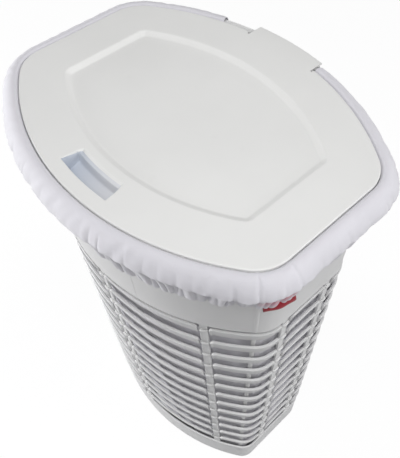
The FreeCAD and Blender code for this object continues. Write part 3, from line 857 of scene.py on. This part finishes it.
def build_lid():
    lid = settings()[1]
    top, panel, edge = lid.top / MM, lid.panel_depth / MM, lid.edge_depth / MM
    outline = lid_outline()
    shares = lid_shares(outline)
    count = len(shares)
    marks_from, marks_to = outline.marks(), panel_outline().marks()
    panel_shares = [matching_share(share, marks_from, marks_to) for share in shares]
    points = []

    def edge_ring(sink, level):
        points.extend((x * MM, y * MM, level * MM) for x, y in lid_edge_points(shares, sink))

    def skirt_ring(sink, level):
        points.extend(off_outline(outline.at(share), -sink, 0.0, level) for share in shares)

    # under side of the turned-down edge, its outer face and its rounded upper corner
    low = top - edge
    for sink, level in ((2.4, top - 3.0), (2.4, low + 0.6), (1.9, low), (0.5, low), (0.0, low + 0.6),
                        (0.0, top - 2.6)):
        skirt_ring(sink, level)
    for sink, level in ((0.25, top - 2.5), (0.0, top - 2.0), (0.0, top - 1.1), (0.35, top - 0.45),
                        (0.95, top - 0.08), (1.6, top)):
        edge_ring(sink, level)
    # the border blends from the edge's outline to the panel's, and sinks into the finger recess
    border_start, inner = lid_outline(-3.0), panel_outline()
    pairs = [(border_start.at(share), inner.at(other)) for share, other in zip(shares, panel_shares)]
    for inset in lid_border_insets():
        t = (inset - 3.0) / (51.0 - 3.0)
        half_width = 35.3 - 3.4 * (inset - RECESS_FRONT) / RECESS_RUN
        for (x0, y0, _, _), (x1, y1, _, _) in pairs:
            x, y = x0 + (x1 - x0) * t, y0 + (y1 - y0) * t
            depth, under = 0.0, 0.0
            if y < 0 and abs(x) < 60:
                depth, under = recess_depth(x, inset, half_width)
            points.append((x * MM, (y - under) * MM, (top - depth) * MM))
    # the sunk panel: a soft bevel, then a slightly crowned floor
    bevel = ((0.6, 0.0), (-0.2, 0.1), (-1.2, 0.5), (-3.4, 1.5), (-5.6, 2.5), (-6.8, 2.9), (-8.2, 3.0))
    full_drop = bevel[-1][1]
    for grow, drop in bevel:
        ring = panel_outline(grow)
        marks = ring.marks()
        for matched in panel_shares:
            x, y, _, _ = ring.at(matching_share(matched, marks_to, marks))
            points.append((x * MM, y * MM, (top - drop * panel / full_drop) * MM))
    last = points[-count:]
    for shrink in (0.93, 0.82, 0.66, 0.46, 0.24, 0.04):
        points.extend((x * shrink, y * shrink, z) for x, y, z in last)
    faces = grid_faces(len(points) // count, count, False, True)
    faces.append(tuple(range(len(points) - count, len(points))))
    piece = mesh_object("lid_moulding", points, faces, lid_plastic(), LID)
    # the faces sunk into the finger recess take the plastic with painted shade
    piece.data.materials.append(recess_shade_plastic())
    for face in piece.data.polygons:
        middle = face.center / MM
        if abs(middle.x) < 42 and -146 < middle.y < -106 and middle.z < top - 1.6:
            face.material_index = 1
    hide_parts("lid", "finger_cup")
    build_lid_underside(top)


def build_lid_underside(top):
    """Inner face of the lid, lower under the panel and open under the finger cup, and the cup's outside."""
    rings = [(3.0, 1.0), (3.0, 0.985), (3.0, 0.965), (3.4, 0.8), (6.0, 0.735), (6.0, 0.4), (6.0, 0.05)]
    places = matched_points(lid_outline(-2.4))
    count = len(places)
    points = []
    for drop, shrink in rings:
        points += [(x * shrink * MM, y * shrink * MM, (top - drop) * MM) for x, y, _, _ in places]
    faces = grid_faces(len(rings), count, False, True)
    middles = [[sum(points[corner][axis] for corner in face) / len(face) / MM for axis in (0, 1)]
               for face in faces]
    faces = [face for face, (x, y) in zip(faces, middles) if abs(x) > 39 or not -147 < y < -112]
    faces.append(tuple(range(len(points) - count, len(points))))
    cup = []
    front_half, back_half = 37.0, 33.5
    cup_sections = [(-143.0, -110.5, 3.0), (-143.0, -110.8, 10.5), (-142.8, -118.0, 14.0),
                    (-142.5, -134.0, 23.0), (-141.5, -136.0, 23.8)]
    for front, back, drop in cup_sections:
        for x, y in ((front_half, front), (back_half, back), (-back_half, back), (-front_half, front)):
            cup.append((x * MM, y * MM, (top - drop) * MM))
    cup_faces = grid_faces(len(cup_sections), 4, False, True)
    cup_faces.append(tuple(range(len(cup) - 4, len(cup))))
    points, faces = merge([(points, faces), (cup, cup_faces)])
    piece = mesh_object("lid_underside", points, faces, lid_plastic(), LID)


# ------------------------------------------------------------------ cloth

def fold_noise(seed, frequencies):
    """Smooth periodic noise round the hamper, as (frequency, shift, size) of each wave."""
    source = np.random.default_rng(seed)
    return [(frequency, source.uniform(0, 2 * math.pi), source.uniform(0.5, 1.0))
            for frequency in frequencies]


def wave(waves, share):
    """Mean height of the waves at a share of the way round."""
    heights = [size * math.sin(2 * math.pi * frequency * share + shift) for frequency, shift, size in waves]
    return sum(heights) / len(heights)


class Pleats:
    """Gathered folds that run down the cuff: narrow valleys between rounded ridges, at uneven spacing."""

    def __init__(self, seed, length, spacing, depth, lean):
        source = np.random.default_rng(seed)
        self.length = length
        self.folds = []
        place = 0.0
        while place < length:
            wide = spacing * source.uniform(0.10, 0.30)
            self.folds.append((place, wide, depth * source.uniform(0.35, 1.0),
                               lean * source.uniform(-1.0, 1.0), source.uniform(0.0, 0.55)))
            place += spacing * source.uniform(0.55, 1.5)

    def depth(self, place, fall):
        """Depth of the valleys at a place along the hem; fall goes from 0 at the bulge to 1 at the hem."""
        total = 0.0
        for centre, wide, deep, lean, start in self.folds:
            offset = place - centre + lean * (1 - fall)
            offset -= self.length * round(offset / self.length)
            if abs(offset) > wide * 5:
                continue
            rise = smoothstep(start * 0.5, start * 0.5 + 0.45, fall)
            total += deep * rise * math.exp(-(abs(offset) / wide) ** 1.25)
        return total


def share_near(outline, x, y):
    """Share of an outline's point that lies nearest to a place."""
    steps = 1440
    return min(range(steps), key=lambda step: math.dist(outline.at(step / steps)[:2], (x, y))) / steps


def build_cuff():
    """The liner's cuff, folded over the rim: smooth on top, gathered towards its hem."""
    cloth_settings = settings()[2]
    hem = cloth_settings.hem / MM
    gather = cloth_settings.gather / MM
    columns = 900
    # reach beyond the lid's edge and level, from the mouth over the crest to the bulge
    crest = [(1.4, 620.0), (1.2, 627.0), (1.2, 631.5), (1.6, 634.2), (2.6, 635.8), (4.2, 636.6), (6.4, 636.6),
             (9.0, 635.9), (11.6, 634.5), (14.0, 632.4), (16.2, 629.8), (18.2, 626.8), (19.8, 623.4),
             (20.8, 619.8)]
    bulge, hem_level = 618.0, 557.0
    shares_down = [0.0, 0.04, 0.08, 0.12, 0.16, 0.2, 0.25, 0.3, 0.35, 0.4, 0.46, 0.52, 0.58, 0.64, 0.7,
                   0.76, 0.82, 0.87, 0.91, 0.95, 0.98, 1.0]
    hem_outline = wall_outline(hem, 6.0)
    length = hem_outline.total
    deep = Pleats(41, length, 24.0, gather, 12.0)
    fine = Pleats(42, length, 10.0, gather * 0.55, 6.0)
    # two sewn seams beside the near corner, and the tuck at the foot of the first
    front_seam, side_seam = (share_near(hem_outline, *place) * length for place in (FRONT_SEAM, SIDE_SEAM))
    deep.folds.append((front_seam, 1.3, 1.3, -9.0, -2.0))
    deep.folds.append((side_seam, 1.3, 1.3, 12.0, -2.0))
    deep.folds.append((front_seam - 6.0, 3.2, 6.5, 6.0, 0.9))
    broad = fold_noise(3, (5, 7, 9, 13))
    medium = fold_noise(5, (23, 31, 37, 47))
    creases = fold_noise(8, (61, 73, 87, 103))
    start, stop = gap_shares()
    upper, lower = lid_outline(21.0), wall_outline(hem, 6.6)
    rows = []
    for reach, level in crest:
        ring = []
        outline = lid_outline(reach)
        outer = smoothstep(3.0, 14.0, reach)
        gathered = 0.30 * smoothstep(8.0, 21.0, reach)
        for column in range(columns + 1):
            share = stop + (start + 1.0 - stop) * column / columns
            valley = deep.depth(share * length, gathered) + fine.depth(share * length, gathered)
            crumple = 0.5 * wave(creases, share + reach * 0.0006) * outer
            out = outer * 0.7 * wave(broad, share) + crumple - 0.7 * valley
            lift = outer * 0.4 * wave(medium, share) + crumple * 0.7 - 0.5 * valley
            ring.append(off_outline(outline.at(share), out, 0.0, level + lift))
        rows.append(ring)
    for down in shares_down:
        ring = []
        level = bulge - (bulge - hem_level) * down
        gathered = 0.30 + 0.70 * down
        t = down ** 0.86
        for column in range(columns + 1):
            share = stop + (start + 1.0 - stop) * column / columns
            x0, y0, nx, ny = upper.at(share)
            x1, y1, mx, my = lower.at(share)
            x, y = x0 + (x1 - x0) * t, y0 + (y1 - y0) * t
            nx, ny = nx + (mx - nx) * t, ny + (my - ny) * t
            valley = deep.depth(share * length, gathered) + fine.depth(share * length, gathered)
            valley *= 1 + 1.3 * math.sin(math.pi * down)
            out = down - valley + 0.7 * wave(broad, share) + 0.5 * wave(creases, share + level * 0.00003)
            out = max(out, -5.0 - 7.0 * (1 - down))   # the valleys stay outside the rim
            sag = 1.6 * down * wave(medium, share + 0.013) + 0.8 * down * wave(creases, share)
            lift = sag - 0.4 * valley * (1 - down)
            ring.append(off_outline((x, y, nx, ny), out, 0.0, level + lift))
        rows.append(ring)
    # the hem turns in and up behind the gathers, over the elastic
    for inward, up in ((1.0, -0.2), (1.9, 1.2), (2.2, 5.0)):
        base = rows[len(crest) + len(shares_down) - 1]
        ring = []
        for column, (x, y, z) in enumerate(base):
            share = stop + (start + 1.0 - stop) * column / columns
            _, _, nx, ny = lower.at(share)
            ring.append((x - nx * inward * MM, y - ny * inward * MM, z + up * MM))
        rows.append(ring)
    points = [point for ring in rows for point in ring]
    faces = grid_faces(len(rows), columns + 1)
    tint = ((0.2020, -0.0610, 0.5740), 0.030, (0.62, 0.06, 0.15))
    material = cloth("Cuff cloth", tuple(cloth_settings.colour), tint)
    piece = mesh_object("cuff_cloth", points, faces, material, BASKET)
    solid = piece.modifiers.new("cloth thickness", "SOLIDIFY")
    solid.thickness = cloth_settings.thickness
    solid.offset = 1.0
    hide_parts("liner_cuff")
    return piece


def gap_shares():
    """Shares at which the cuff stops, left and right of the hinge."""
    outline = lid_outline(10.0)
    return outline.share_of_side(BARE_RIGHT, False), outline.share_of_side(BARE_LEFT, False)


def build_bag():
    """The bag inside: cloth that hangs from the rim in soft upright folds and lies on the floor."""
    columns = 420
    broad = fold_noise(21, (5, 8, 11, 15))
    medium = fold_noise(22, (19, 27, 35, 43))
    levels = [622.0, 620.9, 620.4, 618.0, 610.0, 596.0, 575.0]
    levels += [550.0 - 22.0 * step for step in range(24)] + [24.0, 15.0, 11.5]
    rows = []
    for level in levels:
        # the mouth lies over the rim's inner edge, and the side hangs inside the wall
        hangs = level <= 619.0
        if level > 621.5:
            outline = lid_outline(1.5)
        elif level > 620.6:
            outline = lid_outline(-1.0)
        else:
            outline = wall_outline(level, -6.8 if hangs else -3.2)
        free = 1 - smoothstep(540.0, 615.0, level)
        loose = free * (0.55 + 0.45 * math.sin(level * 0.021))
        ring = []
        for column in range(columns):
            share = column / columns
            out = 0.0
            if hangs:
                out = -1.4 * free + 1.5 * wave(medium, share + level * 0.00006) * free
                out += 1.3 * wave(broad, share) * loose
                out -= 7.0 * (1 - smoothstep(11.0, 30.0, level))
            ring.append(off_outline(outline.at(share), out, 0.0, level))
        rows.append(ring)
    for shrink in (0.94, 0.8, 0.6, 0.35, 0.08):
        lift = [0.6 * wave(medium, column / columns) * shrink for column in range(columns)]
        base = rows[len(levels) - 1]
        rows.append([(x * shrink, y * shrink, (9.6 + rise) * MM) for (x, y, _), rise in zip(base, lift)])
    points = [point for ring in rows for point in ring]
    faces = grid_faces(len(rows), columns, False, True)
    faces.append(tuple(range(len(points) - columns, len(points))))
    piece = mesh_object("bag_cloth", points, faces, liner_cloth(), BASKET)
    solid = piece.modifiers.new("cloth thickness", "SOLIDIFY")
    solid.thickness = 0.0008
    solid.offset = -1.0
    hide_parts("liner_bag", "liner_floor")
    return piece


def build_hem_tape():
    """Elastic tape sewn inside the hem, which draws it in under the rim."""
    columns = 420
    ripple = fold_noise(31, (90, 117, 141))
    start, stop = gap_shares()
    rows = []
    for out, level in ((3.2, 558.6), (4.4, 558.9), (4.4, 564.4), (3.2, 564.7)):
        ring = []
        for column in range(columns + 1):
            share = stop + (start + 1.0 - stop) * column / columns
            x, y, nx, ny = wall_outline(561.0, out + 0.5 * wave(ripple, share)).at(share)
            ring.append((x * MM, y * MM, level * MM))
        rows.append(ring)
    points = [point for ring in rows for point in ring]
    faces = grid_faces(4, columns + 1, True, False)
    piece = mesh_object("hem_elastic", points, faces, cloth("Elastic tape", (0.78, 0.78, 0.8)), BASKET)
    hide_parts("cuff_elastic")


def build_tag():
    """Folded ribbon label with no lettering: a loop sewn under the hem, which shows below it as a red lip."""
    colour = tuple(settings()[2].tag_colour)
    steps = 30
    rows = []
    start, stop = Vector(TAG_START), Vector(TAG_STOP)
    away = Vector((stop.y - start.y, start.x - stop.x)).normalized()
    for out, level in ((-2.6, 561.0), (-1.3, 557.6), (0.1, 555.0), (0.9, 552.6), (1.0, 550.6), (0.5, 549.5),
                       (-0.2, 549.4), (-0.7, 550.6), (-1.1, 553.0), (-1.9, 556.0), (-3.0, 559.0)):
        ring = []
        for step in range(steps + 1):
            t = step / steps
            belly = 3.2 * math.sin(t * math.pi) ** 0.8
            ripple = 0.4 * math.sin(t * math.pi * 3.3 + level * 0.2)
            place = start + (stop - start) * t + away * (out + belly + ripple)
            drop = 1.8 * math.sin(t * math.pi * 0.5) - 1.2 * math.sin(t * math.pi)
            ring.append((place.x * MM, place.y * MM, (level - drop) * MM))
        rows.append(ring)
    points = [point for ring in rows for point in ring]
    faces = grid_faces(len(rows), steps + 1)
    piece = mesh_object("ribbon_tag", points, faces, satin("Red satin", colour), BASKET)
    solid = piece.modifiers.new("ribbon thickness", "SOLIDIFY")
    solid.thickness = 0.0003
    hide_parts("label_tag")
    return piece


# ------------------------------------------------------------------ stage

def floor_material():
    """Pale sweep: nearly white to look at, while it throws back only a soft light."""
    material = bpy.data.materials.new("Pale floor")
    material.use_nodes = True
    tree = material.node_tree
    shader = tree.nodes["Principled BSDF"]
    shader.inputs["Roughness"].default_value = 0.9
    shader.inputs["Specular IOR Level"].default_value = 0.1
    shader.inputs["Base Color"].default_value = (0.62, 0.62, 0.63, 1)
    bright = tree.nodes.new("ShaderNodeEmission")
    bright.inputs["Color"].default_value = (1, 1, 1, 1)
    bright.inputs["Strength"].default_value = 1.06
    seen = tree.nodes.new("ShaderNodeLightPath")
    mix = tree.nodes.new("ShaderNodeMixShader")
    share = tree.nodes.new("ShaderNodeMath")
    share.operation = "MULTIPLY"
    share.inputs[1].default_value = 0.88
    tree.links.new(seen.outputs["Is Camera Ray"], share.inputs[0])
    tree.links.new(share.outputs["Value"], mix.inputs["Fac"])
    tree.links.new(shader.outputs["BSDF"], mix.inputs[1])
    tree.links.new(bright.outputs["Emission"], mix.inputs[2])
    tree.links.new(mix.outputs["Shader"], tree.nodes["Material Output"].inputs["Surface"])
    return material


def build_stage():
    stage = settings()[3]
    half = 6.0
    mesh = bpy.data.meshes.new("floor")
    corners = [(-half, -half, -0.0005), (half, -half, -0.0005), (half, half, -0.0005), (-half, half, -0.0005)]
    mesh.from_pydata(corners, [], [(0, 1, 2, 3)])
    floor = bpy.data.objects.new("floor", mesh)
    bpy.context.scene.collection.objects.link(floor)
    mesh.materials.append(floor_material())
    world = bpy.data.worlds.new("Studio surround")
    world.use_nodes = True
    world.node_tree.nodes["Background"].inputs["Color"].default_value = (1, 1, 1, 1)
    world.node_tree.nodes["Background"].inputs["Strength"].default_value = stage.fill
    bpy.context.scene.world = world
    bpy.context.scene.view_settings.view_transform = "Standard"

    def lamp(name, side, rise, away, size, power):
        """A soft panel that faces the hamper from a side (degrees from the front towards the right)."""
        turn, lift = math.radians(side), math.radians(rise)
        aim = Vector((0, 0, 0.42))
        towards = Vector((math.sin(turn) * math.cos(lift), -math.cos(turn) * math.cos(lift), math.sin(lift)))
        place = aim + away * towards
        light = bpy.data.lights.new(name, "AREA")
        light.shape = "RECTANGLE"
        light.size, light.size_y = size
        light.energy = power
        thing = bpy.data.objects.new(name, light)
        thing.location = place
        thing.rotation_euler = (aim - place).to_track_quat("-Z", "Y").to_euler()
        bpy.context.scene.collection.objects.link(thing)

    lamp("overhead panel", 48, 68, 1.9, (1.0, 1.0), stage.top_power)
    lamp("left panel", -52, 4, 2.2, (0.9, 1.0), stage.left_power)
    lamp("right panel", 122, 22, 2.2, (0.9, 1.6), stage.right_power)

    # the camera stands front right and above, and is level but for a slight tilt
    yaw, pitch, roll = math.radians(45.63), math.radians(49.57), math.radians(0.64)
    back = Vector((math.sin(yaw) * math.cos(pitch), -math.cos(yaw) * math.cos(pitch), math.sin(pitch)))
    right = (-back).cross(Vector((0, 0, 1))).normalized()
    up = right.cross(-back)
    right_rolled = right * math.cos(roll) + up * math.sin(roll)
    up_rolled = -right * math.sin(roll) + up * math.cos(roll)
    camera = bpy.data.cameras.new("camera")
    camera.sensor_width = 36.0
    camera.lens = stage.focal
    camera.shift_x, camera.shift_y = -0.0695, -0.1053
    thing = bpy.data.objects.new("camera", camera)
    turn = Matrix((right_rolled, up_rolled, back)).transposed()
    thing.matrix_world = Matrix.Translation((0.37711, -0.30262, 1.09028)) @ turn.to_4x4()
    bpy.context.scene.collection.objects.link(thing)
    bpy.context.scene.camera = thing


# ------------------------------------------------------------------ operators

class HAMPER_OT_stage(bpy.types.Operator):
    """Add the floor, the lights and the camera"""
    bl_idname = "hamper.stage"
    bl_label = "Stage"

    def execute(self, context):
        build_stage()
        return {"FINISHED"}


class HAMPER_OT_basket(bpy.types.Operator):
    """Build the base, slats, ribs, ties, corner beads, band and rim of the basket"""
    bl_idname = "hamper.basket"
    bl_label = "Basket"

    def execute(self, context):
        build_base()
        build_slats()
        build_ribs()
        build_ties()
        build_posts()
        build_band()
        build_rim()
        return {"FINISHED"}


class HAMPER_OT_hinge(bpy.types.Operator):
    """Give the hinge lugs, pin and barrels their materials"""
    bl_idname = "hamper.hinge"
    bl_label = "Hinge"

    def execute(self, context):
        finishes = {"hinge_lugs": basket_plastic(), "lid_hinge_barrels": lid_plastic(),
                    "hinge_pin": drawn_metal("Drawn steel", (0.62, 0.62, 0.64))}
        for name, material in finishes.items():
            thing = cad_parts[name]
            for place in thing.material_slots:
                place.material = material
        return {"FINISHED"}


class HAMPER_OT_lid(bpy.types.Operator):
    """Build the lid with its sunk panel, finger recess and hinge tab"""
    bl_idname = "hamper.lid"
    bl_label = "Lid"

    def execute(self, context):
        build_lid()
        return {"FINISHED"}


class HAMPER_OT_liner(bpy.types.Operator):
    """Build the liner bag, its cuff, the elastic and the label tag"""
    bl_idname = "hamper.liner"
    bl_label = "Liner"

    def execute(self, context):
        cuff = build_cuff()
        bag = build_bag()
        build_hem_tape()
        tag = build_tag()
        return {"FINISHED"}


class HAMPER_PT_panel(bpy.types.Panel):
    """Sidebar panel with the hamper's sizes and build steps"""
    bl_label = "Laundry Hamper"
    bl_space_type = "VIEW_3D"
    bl_region_type = "UI"
    bl_category = "Hamper"

    def draw(self, context):
        layout = self.layout
        for operator in OPERATORS:
            layout.operator(operator.bl_idname)
        scene = context.scene
        for group, names in ((scene.hamper_basket, ("slat_top", "slat_pitch", "slat_height", "colour")),
                             (scene.hamper_lid, ("top", "panel_depth", "edge_depth", "colour")),
                             (scene.hamper_cloth, ("hem", "thickness", "gather", "colour", "tag_colour")),
                             (scene.hamper_stage, ("focal", "top_power", "left_power", "right_power",
                                                   "fill"))):
            box = layout.box()
            for name in names:
                box.prop(group, name)


OPERATORS = (HAMPER_OT_stage, HAMPER_OT_basket, HAMPER_OT_hinge, HAMPER_OT_lid, HAMPER_OT_liner)
GROUPS = (HamperBasketSettings, HamperLidSettings, HamperClothSettings, HamperStageSettings)


def register():
    for group in GROUPS + OPERATORS + (HAMPER_PT_panel,):
        bpy.utils.register_class(group)
    scene = bpy.types.Scene
    scene.hamper_basket = PointerProperty(type=HamperBasketSettings)
    scene.hamper_lid = PointerProperty(type=HamperLidSettings)
    scene.hamper_cloth = PointerProperty(type=HamperClothSettings)
    scene.hamper_stage = PointerProperty(type=HamperStageSettings)


def unregister():
    for name in ("hamper_stage", "hamper_cloth", "hamper_lid", "hamper_basket"):
        delattr(bpy.types.Scene, name)
    for group in reversed(GROUPS + OPERATORS + (HAMPER_PT_panel,)):
        bpy.utils.unregister_class(group)


def main():
    register()
    bpy.ops.hamper.stage()
    bpy.ops.hamper.basket()
    bpy.ops.hamper.hinge()
    bpy.ops.hamper.lid()
    bpy.ops.hamper.liner()


if __name__ == "__main__":
    main()
